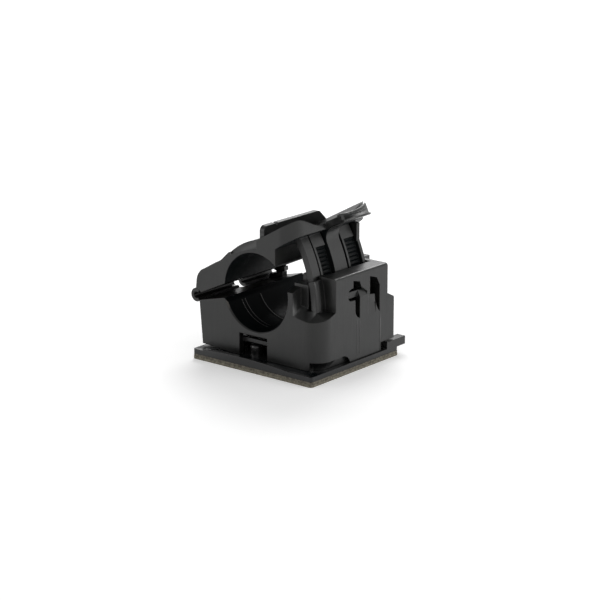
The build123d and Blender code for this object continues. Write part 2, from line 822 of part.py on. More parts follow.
def lid_cells():
    """The cells that lighten the lid above its left edge."""
    pitch = (body_depth - cell_wall) / cell_count
    left, right = by_hinge(cell_left), by_hinge((cell_right[0] + 1, cell_right[1]))
    for index in range(cell_count):
        start = body_front + cell_wall + index * pitch
        prism_y([left, (left[0] + 1, left[1] - cell_fall), (right[0] + 0.6, right[1] - cell_fall), right,
                 (right[0], right[1] + cell_height), (left[0] + 1, left[1] + cell_height)],
                (start, start + pitch - cell_wall), Mode.SUBTRACT)


def ridge():
    """The raised bar across the lid's top."""
    front, rear, top = ridge_front, ridge_rear, ridge_top
    base = top - ridge_rise + 1
    nick, nick_end = front + ridge_nick_start, front + ridge_nick_start + ridge_nick_width
    with BuildSketch(beside(ridge_x)) as outline:
        with BuildLine() as edge:
            Polyline((front, base), (rear, base), (rear, top - ridge_bevel), (rear - ridge_bevel, top - 0.2),
                     (rear - ridge_bevel - 0.8, top), (nick_end, top), (nick_end - 0.2, top - ridge_nick_depth),
                     (nick + 0.2, top - ridge_nick_depth), (nick, top), (front + ridge_round, top))
            RadiusArc((front + ridge_round, top), (front, top - ridge_round), -ridge_round)
            Line((front, top - ridge_round), (front, base))
        make_face(edge.edges())
    extrude(outline.sketch, amount=ridge_width)


def straps():
    """The curved band with its plain pads, the grooves and the toothed channels."""
    over = strap_radius + 0.5
    low = strap_low_angle - 1
    curved_bar((strap_radius - strap_thickness, strap_radius), (strap_low_angle, strap_high_angle),
               (strap_start, strap_end))
    for start, width in grooves:
        curved_bar((strap_radius - groove_depth, over), (low, strap_high_angle - 1.5), (start, start + width),
                   Mode.SUBTRACT)
    for start, width in channels:
        curved_bar((strap_radius - channel_depth, over), (low, tooth_top_angle), (start, start + width),
                   Mode.SUBTRACT)


def teeth():
    """Saw teeth along both channels, one pitch apart about the hinge axis, flat on top to catch the pawls."""
    root = strap_radius - channel_depth
    step = tooth_pitch / strap_radius * 180 / pi
    count = int((tooth_top_angle - strap_low_angle) / step)
    for start, width in channels:
        with BuildSketch(across(start)) as outline:
            for index in range(count):
                low = strap_low_angle + (index + 0.15) * step
                with BuildLine() as edge:
                    Polyline(on_arc(root - 0.2, low), on_arc(root + tooth_height, low + 0.65 * step),
                             on_arc(root + tooth_height, low + 0.85 * step),
                             on_arc(root - 0.2, low + 0.85 * step), close=True)
                make_face(edge.edges())
        extrude(outline.sketch, amount=-width)


def centre_rail():
    """The wide middle rail and the post above it, which flares into the finger tab."""
    curved_bar((strap_radius - 1, strap_radius + centre_rail_rise), (strap_low_angle, tooth_top_angle + 1.5),
               (centre_rail_start, centre_rail_end))
    foot, back = on_arc(strap_radius + centre_rail_rise, 26), on_arc(strap_radius - 1, 26)
    flare = (arm_right + post_flare[0], arm_low + post_flare[1])
    with BuildSketch(across(centre_rail_start)) as outline:
        with BuildLine() as edge:
            ThreePointArc(foot, (arm_right - post_bend[0], arm_low - post_bend[1]), flare)
            Polyline(flare, (arm_right + 1, arm_low + tab_rise), (arm_right - 2, arm_low + 0.9), back, foot)
        make_face(edge.edges())
    extrude(outline.sketch, amount=-centre_rail_width)


def gusset():
    """The gusset above the last rail."""
    foot = on_arc(strap_radius, 24)
    out = foot[0] - gusset_inset
    top = arm_low - gusset_drop
    prism_y([on_arc(strap_radius - 0.5, 24), (out, foot[1]), (out, top), (arm_right - 2, top + sink)],
            (strap_end - gusset_width, strap_end))


def tab_outline(extra):
    """Draws the finger tab in its own plane: a waist at the root, flared sides and a round tip."""
    root, corner = tab_root_half_width, (tab_corner + extra, tab_half_width)
    with BuildLine() as edge:
        Line((-2, root), (-2, -root))
        Line((-2, -root), (1, -root))
        ThreePointArc((1, -root), (tab_waist[0], -tab_waist[1]), (corner[0], -corner[1]))
        ThreePointArc((corner[0], -corner[1]), (tab_length + extra, 0), corner)
        ThreePointArc(corner, tab_waist, (1, root))
        Line((1, root), (-2, root))
    make_face(edge.edges())


def finger_tab():
    """The dished finger tab, a sloping plate with a lip that stands out below its tip."""
    tilt = radians(tab_slope)
    middle = (centre_rail_start + centre_rail_end) / 2
    root = (arm_right, middle, arm_low + tab_rise)
    along, up = (cos(tilt), 0, sin(tilt)), (-sin(tilt), 0, cos(tilt))
    with BuildPart() as tab:
        with BuildSketch(Plane(origin=root, x_dir=along, z_dir=up).offset(-tab_thickness)) as upper:
            tab_outline(0)
        extrude(upper.sketch, amount=tab_thickness + tab_dish_depth)
        with BuildSketch(Plane(origin=root, x_dir=along, z_dir=up).offset(-tab_thickness)) as lower:
            tab_outline(tab_lip_reach)
        extrude(lower.sketch, amount=-tab_lip)
        with BuildSketch(Plane(origin=root, x_dir=(0, 1, 0), z_dir=along).offset(-3)) as dish:
            with Locations((0, tab_dish_radius)):
                Circle(tab_dish_radius)
        extrude(dish.sketch, amount=2 * tab_length, mode=Mode.SUBTRACT)
    add(tab.part)


with BuildPart() as lid:
    lid_section((body_front, body_front + flange_depth), True)
    lid_section((body_front + flange_depth, body_rear - flange_depth), False)
    lid_section((body_rear - flange_depth, body_rear), True)
    lid_toe()
    arm_plan()
    top_scoop()
    lid_cells()
    ridge()
    straps()
    teeth()
    centre_rail()
    gusset()
    finger_tab()
    with BuildSketch(across(body_front - 1)):
        with Locations((hinge_x, hinge_z)):
            Circle(loop_radius + hinge_clearance)
    extrude(amount=-(body_depth + 2), mode=Mode.SUBTRACT)
lid.part.label = "lid"
export_step(lid.part, "parts/lid.step")
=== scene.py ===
import json
from math import cos, pi, radians, sin

import bmesh
import bpy
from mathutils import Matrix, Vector
from mathutils.noise import noise


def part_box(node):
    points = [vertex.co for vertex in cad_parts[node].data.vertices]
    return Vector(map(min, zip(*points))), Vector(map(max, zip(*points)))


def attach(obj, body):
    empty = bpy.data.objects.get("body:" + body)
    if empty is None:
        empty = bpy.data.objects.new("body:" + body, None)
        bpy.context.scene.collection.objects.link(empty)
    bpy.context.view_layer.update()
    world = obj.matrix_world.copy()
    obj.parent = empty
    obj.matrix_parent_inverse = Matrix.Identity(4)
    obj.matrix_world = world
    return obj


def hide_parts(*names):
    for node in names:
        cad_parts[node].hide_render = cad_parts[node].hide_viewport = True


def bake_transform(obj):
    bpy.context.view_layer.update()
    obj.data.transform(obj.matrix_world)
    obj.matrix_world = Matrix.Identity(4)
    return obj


# The looks of the adhesive cable clip, in metres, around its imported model.
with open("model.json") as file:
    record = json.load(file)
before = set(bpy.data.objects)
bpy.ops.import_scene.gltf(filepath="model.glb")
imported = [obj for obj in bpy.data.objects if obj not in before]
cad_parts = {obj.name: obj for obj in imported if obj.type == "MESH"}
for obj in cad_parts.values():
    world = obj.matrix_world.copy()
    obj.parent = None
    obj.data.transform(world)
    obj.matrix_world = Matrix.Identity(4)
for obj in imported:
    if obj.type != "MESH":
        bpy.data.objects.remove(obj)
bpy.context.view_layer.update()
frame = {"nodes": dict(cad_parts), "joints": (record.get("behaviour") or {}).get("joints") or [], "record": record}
nodes = frame["nodes"]
mounts = {mount["name"]: mount for mount in frame["record"]["mounts"]}
joints = {joint["name"]: joint for joint in frame["joints"]}
MM = 0.001

# Camera: a long lens a little above the clip, off its front right corner. Lens and sensor are in mm
CAMERA_PLACE = Vector((351.54, -428.29, 174.65)) * MM
CAMERA_AIM = Vector((-2.438, 4.722, 14.0)) * MM
LENS = 132.0
SENSOR = 36.0
CAMERA_REACH = (0.01, 50.0)

# Bore and hinge: a place on the axis of each, both along the cable, and the bore's radius
BORE = Vector(mounts["cable_clamp"]["pos_m"])
BORE_RADIUS = mounts["cable_clamp"]["dims"]["r_mm"] * MM
HINGE = Vector(joints["lid_hinge"]["pos_m"])

# How near to the bore's radius its faces lie, and how squarely they face its axis; these faces get painted shade
BORE_NEAR = 0.35 * MM
BORE_FACING = 0.9

# Straps: radius of their rails about the hinge, range in Y, least X, and height where they meet the arm; the
# channels between the rails get painted shade
STRAP_RADIUS = 36.6 * MM
STRAP_SIDES = (-9.3 * MM, 12.1 * MM)
STRAP_LEFT = 8.0 * MM
STRAP_TOP = 36.6 * MM

# How far in and out of that radius the floors and teeth lie, and how near and squarely the rails
STRAP_DEPTH = 1.3 * MM
STRAP_RISE = 0.25 * MM
RAIL_NEAR = 0.1 * MM
RAIL_FACING = 0.97

# Softened moulded edges, the least angle of a corner, and the weight of a face's area in the shading
SOFT_EDGE = 0.24 * MM
SHARP_ANGLE = radians(17)
AREA_WEIGHT = 80

# Points nearer than this are one, and faces turned less than this are one flat face
SAME_PLACE = 1e-6
FLAT_ANGLE = radians(0.4)

# Bevel beside the deck, painted lighter as a painted highlight for the light that falls on it: its range in X,
# then in Z, and how squarely it faces right
LIT_BAND = (-11.5 * MM, -9.4 * MM, 14.6 * MM, 17.4 * MM)
LIT_BAND_FACING = 0.3

# Painted shadow: dark strip of the plate's top behind its front lip, where the body's shadow falls: its range in
# Y, a height just above it, and how squarely it faces up
SHADOW_STRIP = (-17.1 * MM, -14.5 * MM)
SHADOW_STRIP_TOP = 2.8 * MM
SHADOW_STRIP_FACING = 0.9

# Rear end of the lid's toe, beside the deck's stop: section in X and Z, range in Y, and its ends' rounding
TOE = ((-19.75 * MM, 15.78 * MM), (-16.75 * MM, 17.24 * MM),
       (-16.75 * MM, 18.4 * MM), (-19.75 * MM, 18.0 * MM))
TOE_SIDES = (15.45 * MM, 17.3 * MM)
TOE_ROUND = 0.15 * MM

# Finger tab: root, slope, length, half width, and the radii of its tip and its dish
TAB_ROOT = Vector((11.0, 1.85, 38.417)) * MM
TAB_TILT = radians(24.5)
TAB_LENGTH = 8.6 * MM
TAB_HALF_WIDTH = 5.5 * MM
TIP_RADIUS = 12.71 * MM
DISH_RADIUS = 26.0 * MM

# Tab's rim: height at its near and far corners, then its section from the tip inwards
RIM_LOW = 0.15 * MM
RIM_HIGH = 1.15 * MM
RIM_SUNK = 0.5 * MM
RIM_ROUND = 0.1 * MM
RIM_CREST = 0.15 * MM
RIM_BACK = 0.4 * MM
RIM_SLOPE = 0.65 * MM
RIM_FOOT = 1.1 * MM
RIM_SKIN = 0.03 * MM
RIM_STEPS = 24

# Living hinge: outer and inner radius, how far round its mouth opens, steps round, its ends' rounding, and the
# least angle of its corners
WEB_OUTER = 1.85 * MM
WEB_INNER = 0.85 * MM
WEB_MOUTH = radians(52)
WEB_STEPS = 40
WEB_ROUND = 0.12 * MM
WEB_CORNER = radians(40)

# Foam pad: corner radius, spacing of the points on its cut edge, and the depth and width of its raggedness
PAD_CORNER = 0.9 * MM
PAD_STEP = 0.3 * MM
PAD_RAGGED = 0.07 * MM
PAD_GRAIN = 0.7 * MM

# Least angle of a corner on the foam and the tab's rim
SOFT_CORNER = radians(50)

# How far the knife's cut draws in, at shares of a layer's height
PAD_CUT = ((0, 0.10 * MM), (0.12, 0.02 * MM), (0.35, 0), (0.6, 0.02 * MM), (0.85, 0), (1, 0.10 * MM))

# Thin ribs round the bore: heights, thickness and steps round
RIB_HEIGHT = 0.16 * MM
LOW_RIB_HEIGHT = 0.05 * MM
RIB_WIDTH = 0.2 * MM
RIB_STEPS = 40

# Rows of ribs: name, body, start and sweep round the bore, count, first place in Y, spacing and height
RIBS = (("body_rib", "body", radians(-154), radians(60), 1, -1.7 * MM, 0.0, RIB_HEIGHT),
        ("body_low_ribs", "body", radians(-154), radians(60), 2, -9.1 * MM, 1.3 * MM, LOW_RIB_HEIGHT),
        ("lid_ribs", "lid", radians(104), radians(50), 2, -8.1 * MM, 0.9 * MM, LOW_RIB_HEIGHT))

# Moulded plastic: sizes of its tones, gloss patches, flow marks, streaks and grain
PLASTIC_IOR = 1.46
TONE_SIZE = 5.0 * MM
GLOSS_SIZE = 2.2 * MM
FLOW_SIZE = 3.5 * MM
STREAK_SIZE = 0.9 * MM
GRAIN_SIZE = 0.16 * MM

# Strength and depth of their bumps, and the part of the noise that tones and gloss are spread over
FLOW_BUMP = (0.35, 0.08 * MM)
STREAK_BUMP = (0.6, 0.036 * MM)
LINE_BUMP = (1.0, 0.1 * MM)
GRAIN_STRENGTH = 0.6
PLASTIC_SPREAD = (0.3, 0.7)

# Witness lines on the right face: place in Y, width, foot, head, and the X that they lie beyond
SIDE_LINES = ((1.15 * MM, 0.35 * MM, 4.0 * MM, 13.9 * MM, 19.2 * MM),
              (2.3 * MM, 0.3 * MM, 4.0 * MM, 13.9 * MM, 19.2 * MM),
              (10.9 * MM, 0.8 * MM, 2.9 * MM, 13.6 * MM, 19.2 * MM))
LINE_FOOT_FADE = 0.6 * MM
LINE_HEAD_FADE = 2.5 * MM
LINE_SIDE_FADE = 0.1 * MM

# Foam: sizes of its tones and cells, strength and depth of their bumps, spread of the tones and roughness
FOAM_TONE_SIZE = 0.5 * MM
FOAM_CELL_SIZE = 0.24 * MM
FOAM_TONE_BUMP = (0.6, 0.1 * MM)
FOAM_CELL_BUMP = (0.8, 0.06 * MM)
FOAM_SPREAD = (0.35, 0.65)
FOAM_ROUGHNESS = 0.9

# Floor: half its width, its paleness, roughness and gloss, and its glow to the camera and in gloss
FLOOR_HALF = 3.0
FLOOR_PALE = 0.9
FLOOR_ROUGHNESS = 0.9
FLOOR_GLOSS = 0.1
FLOOR_GLOW = 0.25

# Sky: strength to the eye, as a light and overhead in gloss, and its heights between which gloss darkens
SKY_SEEN = 1.0
SKY_LIGHT = 0.55
CEILING = 0.34
CEILING_RISE = (0.35, 0.75)

# Soft lamps: name, place, size in metres and power in watts
LAMPS = (("back_lamp", (-0.35, 0.62, 0.6), (0.5, 0.4), 4.6),
         ("right_lamp", (0.8, 0.35, 0.3), (0.4, 0.5), 2.4),
         ("left_lamp", (-0.6, -0.7, 0.25), (0.4, 0.4), 1.0))
LAMP_AIM = Vector((0.0, 0.0, 0.02))


def camera():
    """The camera at the photograph's angle."""
    data = bpy.data.cameras.new("camera")
    data.lens = LENS
    data.sensor_width = SENSOR
    data.clip_start, data.clip_end = CAMERA_REACH
    eye = bpy.data.objects.new("camera", data)
    bpy.context.scene.collection.objects.link(eye)
    eye.location = CAMERA_PLACE
    eye.rotation_euler = (CAMERA_AIM - CAMERA_PLACE).to_track_quat("-Z", "Y").to_euler()
    bpy.context.scene.camera = eye


# Node helpers
def material(name):
    """A new node material with its tree and its shader."""
    made = bpy.data.materials.new(name)
    made.use_nodes = True
    tree = made.node_tree
    shader = tree.nodes["Principled BSDF"]
    return made, tree, shader


def add(tree, kind, **settings):
    """Adds a node and sets its inputs by name or its properties."""
    node = tree.nodes.new(kind)
    for key, value in settings.items():
        if key in node.inputs:
            node.inputs[key].default_value = value
        else:
            setattr(node, key, value)
    return node


def object_place(tree, stretch=(1, 1, 1)):
    """Object coordinates, stretched."""
    place = add(tree, "ShaderNodeTexCoord")
    turn = add(tree, "ShaderNodeMapping")
    turn.inputs["Scale"].default_value = stretch
    tree.links.new(place.outputs["Object"], turn.inputs["Vector"])
    return turn.outputs["Vector"]


def object_noise(tree, size, detail=2.0, stretch=(1, 1, 1)):
    """Noise on Object coordinates whose grains are about size metres wide."""
    grain = add(tree, "ShaderNodeTexNoise", Scale=1 / size, Detail=detail)
    tree.links.new(object_place(tree, stretch), grain.inputs["Vector"])
    return grain.outputs["Fac"]


def ramp(tree, value, low, high, start, end):
    """Maps a value between low and high to start and end."""
    node = add(tree, "ShaderNodeMapRange")
    node.inputs["From Min"].default_value = low
    node.inputs["From Max"].default_value = high
    node.inputs["To Min"].default_value = start
    node.inputs["To Max"].default_value = end
    tree.links.new(value, node.inputs["Value"])
    return node.outputs["Result"]


def shade(tree, value, dark, light):
    """A colour between dark and light by value."""
    mix = add(tree, "ShaderNodeMix", data_type="RGBA")
    mix.inputs["A"].default_value = (*dark, 1)
    mix.inputs["B"].default_value = (*light, 1)
    tree.links.new(value, mix.inputs["Factor"])
    return mix.outputs["Result"]


def bump(tree, shader, layers, first=None):
    """Stacks bump layers of (height, strength, depth in metres) on the shader's normal."""
    last = first
    for height, strength, depth in layers:
        node = add(tree, "ShaderNodeBump", Strength=strength, Distance=depth)
        tree.links.new(height, node.inputs["Height"])
        if last is not None:
            tree.links.new(last.outputs["Normal"], node.inputs["Normal"])
        last = node
    tree.links.new(last.outputs["Normal"], shader.inputs["Normal"])


def product(tree, first, second):
    """Two values multiplied."""
    node = add(tree, "ShaderNodeMath", operation="MULTIPLY")
    tree.links.new(first, node.inputs[0])
    tree.links.new(second, node.inputs[1])
    return node.outputs[0]


def witness_line(tree, y, width, low, high, out):
    """Height of a thin upright line at y on the face beyond X = out, from Z = low to high."""
    place = add(tree, "ShaderNodeSeparateXYZ")
    tree.links.new(object_place(tree), place.inputs[0])
    off = add(tree, "ShaderNodeMath", operation="SUBTRACT")
    off.inputs[1].default_value = y
    tree.links.new(place.outputs["Y"], off.inputs[0])
    far = add(tree, "ShaderNodeMath", operation="ABSOLUTE")
    tree.links.new(off.outputs[0], far.inputs[0])
    line = ramp(tree, far.outputs[0], 0, width / 2, 1, 0)
    foot = ramp(tree, place.outputs["Z"], low, low + LINE_FOOT_FADE, 0, 1)
    head = ramp(tree, place.outputs["Z"], high - LINE_HEAD_FADE, high, 1, 0)
    side = ramp(tree, place.outputs["X"], out - LINE_SIDE_FADE, out, 0, 1)
    return product(tree, product(tree, line, foot), product(tree, head, side))


def moulded_plastic(name, dark, light, smooth, rough, grain_depth, lines=(), gloss_level=0.5):
    """Black moulded plastic: fine grain, soft flow marks, streaks, uneven gloss and witness lines."""
    made, tree, shader = material(name)
    shader.inputs["IOR"].default_value = PLASTIC_IOR
    shader.inputs["Specular IOR Level"].default_value = gloss_level
    tone = object_noise(tree, TONE_SIZE, detail=3)
    spread = ramp(tree, tone, *PLASTIC_SPREAD, 0, 1)
    tree.links.new(shade(tree, spread, dark, light), shader.inputs["Base Color"])
    gloss = object_noise(tree, GLOSS_SIZE, detail=4, stretch=(1, 1, 0.35))
    tree.links.new(ramp(tree, gloss, *PLASTIC_SPREAD, smooth, rough), shader.inputs["Roughness"])
    grain = object_noise(tree, GRAIN_SIZE, detail=1)
    flow = object_noise(tree, FLOW_SIZE, detail=2, stretch=(1, 1, 0.5))
    streaks = object_noise(tree, STREAK_SIZE, detail=2, stretch=(1, 1, 0.08))
    layers = [(flow, *FLOW_BUMP), (streaks, *STREAK_BUMP), (grain, GRAIN_STRENGTH, grain_depth)]
    layers += [(witness_line(tree, *line), *LINE_BUMP) for line in lines]
    bump(tree, shader, layers, add(tree, "ShaderNodeBevel", samples=4, Radius=SOFT_EDGE))
    return made


body_plastic = moulded_plastic("body_plastic", (0.005, 0.0053, 0.0054), (0.0085, 0.0088, 0.0082), 0.3, 0.4,
                               0.008 * MM, SIDE_LINES)
# Painted highlight: a lighter, warmer copy of the plastic for the lit strip beside the deck
painted_light_plastic = moulded_plastic("painted_light_plastic", (0.02, 0.018, 0.016), (0.07, 0.062, 0.055), 0.4, 0.5,
                                 0.01 * MM)
# Painted shade: a darker, less glossy copy of the lid's plastic for its bore and its strap channels
painted_shade_lid_plastic = moulded_plastic("painted_shade_lid_plastic", (0.003, 0.0042, 0.0046), (0.006, 0.0078, 0.0082), 0.36,
                                   0.48, 0.008 * MM, gloss_level=0.2)
# Painted shade: a darker, less glossy copy of the body's plastic for its bore
painted_shade_bore_plastic = moulded_plastic("painted_shade_bore_plastic", (0.0015, 0.0023, 0.0025), (0.0025, 0.0035, 0.004), 0.34, 0.46,
                               0.006 * MM, gloss_level=0.03)
lid_plastic = moulded_plastic("lid_plastic", (0.0072, 0.0076, 0.0076), (0.0122, 0.0126, 0.0117), 0.3, 0.4,
                              0.008 * MM)
# Painted shadow: a darker, less glossy copy of the plate's plastic for the strip behind its lip
painted_shadow_plate_plastic = moulded_plastic("painted_shadow_plate_plastic", (0.0015, 0.0023, 0.0028),
                                      (0.0025, 0.0038, 0.0045), 0.2, 0.3, 0.004 * MM, gloss_level=0.1)
plate_plastic = moulded_plastic("plate_plastic", (0.006, 0.0062, 0.0065), (0.01, 0.0103, 0.0106), 0.16, 0.24,
                                0.003 * MM)


def foam(name, dark, light):
    """Closed-cell foam: pale, matt and pitted."""
    made, tree, shader = material(name)
    tone = object_noise(tree, FOAM_TONE_SIZE, detail=4)
    spread = ramp(tree, tone, *FOAM_SPREAD, 0, 1)
    tree.links.new(shade(tree, spread, dark, light), shader.inputs["Base Color"])
    shader.inputs["Roughness"].default_value = FOAM_ROUGHNESS
    cells = add(tree, "ShaderNodeTexVoronoi", Scale=1 / FOAM_CELL_SIZE)
    tree.links.new(object_place(tree), cells.inputs["Vector"])
    bump(tree, shader, ((tone, *FOAM_TONE_BUMP), (cells.outputs["Distance"], *FOAM_CELL_BUMP)))
    return made


foam_pale = foam("foam_pale", (0.1, 0.09, 0.067), (0.232, 0.214, 0.165))
foam_grey = foam("foam_grey", (0.07, 0.062, 0.048), (0.178, 0.163, 0.126))


# Moulded pieces
def merged(node):
    """A merged copy of a node's mesh, its flat faces joined, as a bmesh."""
    mesh = bmesh.new()
    mesh.from_mesh(nodes[node].data)
    bmesh.ops.remove_doubles(mesh, verts=mesh.verts, dist=SAME_PLACE)
    bmesh.ops.dissolve_limit(mesh, angle_limit=FLAT_ANGLE, verts=mesh.verts, edges=mesh.edges)
    return mesh


def skin(mesh, rings):
    """Faces between neighbouring rings of points."""
    count = len(rings[0])
    for first, second in zip(rings, rings[1:]):
        for index in range(count):
            after = (index + 1) % count
            mesh.faces.new((first[index], first[after], second[after], second[index]))


def capped_skin(mesh, rings):
    """A closed skin over rings of points, with its faces outwards."""
    skin(mesh, rings)
    mesh.faces.new(reversed(rings[0]))
    mesh.faces.new(rings[-1])
    bmesh.ops.recalc_face_normals(mesh, faces=mesh.faces)


def piece(name, mesh, finishes):
    """Links a bmesh as a named piece with its materials and slot."""
    data = bpy.data.meshes.new(name)
    mesh.to_mesh(data)
    mesh.free()
    made = bpy.data.objects.new(name, data)
    bpy.context.scene.collection.objects.link(made)
    for finish in finishes:
        data.materials.append(finish)
    return made


def shade_curves(made, corner):
    """Shades a piece smoothly between corners sharper than an angle."""
    made.data.shade_smooth()
    made.data.set_sharp_from_angle(angle=corner)


def from_hinge(place):
    """Distance of a place from the hinge axis."""
    return Vector((place.x - HINGE.x, place.z - HINGE.z)).length


def strap_shade_faces(mesh):
    """Gives the floors, walls and teeth between the straps' rails the second material, a darker painted shade for
    the shade in the channels.
    """
    for face in mesh.faces:
        middle = face.calc_center_median()
        reach = from_hinge(middle)
        deep = STRAP_RADIUS - STRAP_DEPTH < reach < STRAP_RADIUS + STRAP_RISE
        along = middle.x > STRAP_LEFT and middle.z < STRAP_TOP
        across = STRAP_SIDES[0] < middle.y < STRAP_SIDES[1]
        outer = Vector((middle.x - HINGE.x, 0, middle.z - HINGE.z)).normalized()
        rail = face.normal.dot(outer) > RAIL_FACING and reach > STRAP_RADIUS - RAIL_NEAR
        if deep and along and across and not rail:
            face.material_index = 1


def bore_shade_faces(mesh):
    """Gives the bore's own face the second material, a darker painted shade for the shade inside the bore."""
    for face in mesh.faces:
        middle = face.calc_center_median()
        out = Vector((middle.x - BORE.x, 0, middle.z - BORE.z))
        if abs(out.length - BORE_RADIUS) < BORE_NEAR and face.normal.dot(out.normalized()) < -BORE_FACING:
            face.material_index = 1


def lit_band_faces(mesh):
    """Gives the bevel beside the deck the third material, a lighter painted highlight for the light that falls on
    it.
    """
    for face in mesh.faces:
        middle = face.calc_center_median()
        beside_deck = LIT_BAND[0] < middle.x < LIT_BAND[1] and LIT_BAND[2] < middle.z < LIT_BAND[3]
        if beside_deck and face.normal.x > LIT_BAND_FACING:
            face.material_index = 2


def plate_shadow_faces(mesh):
    """Gives the strip of the plate's top behind its front lip the second material, a painted shadow for the body's
    shadow there.
    """
    for y in SHADOW_STRIP:
        whole = mesh.verts[:] + mesh.edges[:] + mesh.faces[:]
        bmesh.ops.bisect_plane(mesh, geom=whole, plane_co=(0, y, 0), plane_no=(0, 1, 0))
    for face in mesh.faces:
        middle = face.calc_center_median()
        in_strip = SHADOW_STRIP[0] < middle.y < SHADOW_STRIP[1] and middle.z < SHADOW_STRIP_TOP
        if in_strip and face.normal.z > SHADOW_STRIP_FACING:
            face.material_index = 1


def settled(made):
    """Makes what a piece's modifiers give its own mesh."""
    view = bpy.context.evaluated_depsgraph_get()
    done = bpy.data.meshes.new_from_object(made.evaluated_get(view))
    made.modifiers.clear()
    made.data = done
    return done


def even_shading(made):
    """Shades curves smoothly and keeps flat faces flat in the light."""
    shade_curves(made, SHARP_ANGLE)
    level = made.modifiers.new("flat_faces", "WEIGHTED_NORMAL")
    level.mode = "FACE_AREA"
    level.weight = AREA_WEIGHT
    level.keep_sharp = True
    settled(made)


def moulding(name, node, finishes, marks, body):
    """A node's own moulding, its faces marked for their finishes and for painted light and shade, which stands for
    the node.
    """
    mesh = merged(node)
    for mark in marks:
        mark(mesh)
    made = piece(name, mesh, finishes)
    even_shading(made)
    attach(made, body)
    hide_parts(node)


# Painted shade in the bores, the strap channels and the plate's strip behind its lip, and a painted highlight on
# the bevel beside the deck
moulding("body_moulding", "clip_body", (body_plastic, painted_shade_bore_plastic, painted_light_plastic),
         (lit_band_faces, bore_shade_faces), "body")
moulding("plate_moulding", "base_plate", (plate_plastic, painted_shadow_plate_plastic), (plate_shadow_faces,),
         "body")
moulding("lid_moulding", "lid", (lid_plastic, painted_shade_lid_plastic), (bore_shade_faces, strap_shade_faces),
         "lid")


def rounded_ends(front, rear, rounding):
    """Places along the cable, and how far a section draws in at each, for slightly rounded ends."""
    return (front, rounding), (front + rounding, 0), (rear - rounding, 0), (rear, rounding)


def toe_end(name, section, sides):
    """The rear end of the lid's toe, a prism along the cable."""
    mesh = bmesh.new()
    middle = sum((Vector(corner) for corner in section), Vector((0, 0))) / len(section)
    rings = []
    for y, inset in rounded_ends(*sides, TOE_ROUND):
        ring = []
        for corner in section:
            drawn = Vector(corner) + (middle - Vector(corner)).normalized() * inset
            ring.append(mesh.verts.new((drawn.x, y, drawn.y)))
        rings.append(ring)
    capped_skin(mesh, rings)
    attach(piece(name, mesh, (lid_plastic,)), "lid")


toe_end("lid_toe_end", TOE, TOE_SIDES)


def tab_rim(name):
    """The raised rim round the finger tab's tip, higher at its far corner."""
    along = Vector((cos(TAB_TILT), 0, sin(TAB_TILT)))
    up = Vector((-sin(TAB_TILT), 0, cos(TAB_TILT)))
    mesh = bmesh.new()
    rings = []
    for step in range(RIM_STEPS + 1):
        share = step / RIM_STEPS
        side = (2 * share - 1) * TAB_HALF_WIDTH
        tip = TAB_LENGTH - (TIP_RADIUS - (TIP_RADIUS ** 2 - side ** 2) ** 0.5)
        dish = DISH_RADIUS - (DISH_RADIUS ** 2 - side ** 2) ** 0.5
        high = dish + RIM_LOW + (RIM_HIGH - RIM_LOW) * share
        half = (dish + high) / 2
        section = ((tip, dish - RIM_SUNK), (tip + RIM_ROUND, half), (tip, high - RIM_ROUND),
                   (tip - RIM_CREST, high), (tip - RIM_BACK, high - RIM_ROUND), (tip - RIM_SLOPE, half),
                   (tip - RIM_FOOT, dish - RIM_SKIN), (tip - RIM_FOOT, dish - RIM_SUNK))
        ring = []
        for reach, level in section:
            ring.append(mesh.verts.new(TAB_ROOT + along * reach + up * level + Vector((0, side, 0))))
        rings.append(ring)
    capped_skin(mesh, rings)
    made = piece(name, mesh, (lid_plastic,))
    shade_curves(made, SOFT_CORNER)
    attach(made, "lid")


tab_rim("tab_rim")


def hinge_web(name, node):
    """One length of the living hinge: a C-shaped loop."""
    low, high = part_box(node)
    front, rear = low[1], high[1]
    turn = [WEB_MOUTH + (2 * pi - 2 * WEB_MOUTH) * step / WEB_STEPS for step in range(WEB_STEPS + 1)]
    section = [(WEB_OUTER, angle) for angle in turn] + [(WEB_INNER, angle) for angle in reversed(turn)]
    mesh = bmesh.new()
    rings = []
    for y, inset in rounded_ends(front, rear, WEB_ROUND):
        ring = []
        for radius, angle in section:
            drawn = radius - inset if radius == WEB_OUTER else radius + inset
            ring.append(mesh.verts.new((HINGE.x + drawn * cos(angle), y, HINGE.z + drawn * sin(angle))))
        rings.append(ring)
    skin(mesh, rings)
    last = len(section) - 1
    for ring in (rings[0], rings[-1]):
        for index in range(WEB_STEPS):
            mesh.faces.new((ring[index], ring[index + 1], ring[last - 1 - index], ring[last - index]))
    bmesh.ops.recalc_face_normals(mesh, faces=mesh.faces)
    made = piece(name, mesh, (body_plastic,))
    shade_curves(made, WEB_CORNER)
    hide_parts(node)
    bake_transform(made)


hinge_web("hinge_web_front", "hinge_loop_front")
hinge_web("hinge_web_rear", "hinge_loop_rear")


# Foam pad
def pad_outline(low, high, corner):
    """Evenly spaced points round a rectangle with round corners, anticlockwise."""
    places = []
    centres = ((high[0] - corner, high[1] - corner, 0), (low[0] + corner, high[1] - corner, 1),
               (low[0] + corner, low[1] + corner, 2), (high[0] - corner, low[1] + corner, 3))
    steps = max(2, round(corner * pi / 2 / PAD_STEP))
    for x, y, quarter in centres:
        for step in range(steps + 1):
            angle = (quarter + step / steps) * pi / 2
            places.append(Vector((x + corner * cos(angle), y + corner * sin(angle))))
    even = []
    for start, end in zip(places, places[1:] + places[:1]):
        runs = max(1, round((end - start).length / PAD_STEP))
        even += [start.lerp(end, run / runs) for run in range(runs)]
    return even


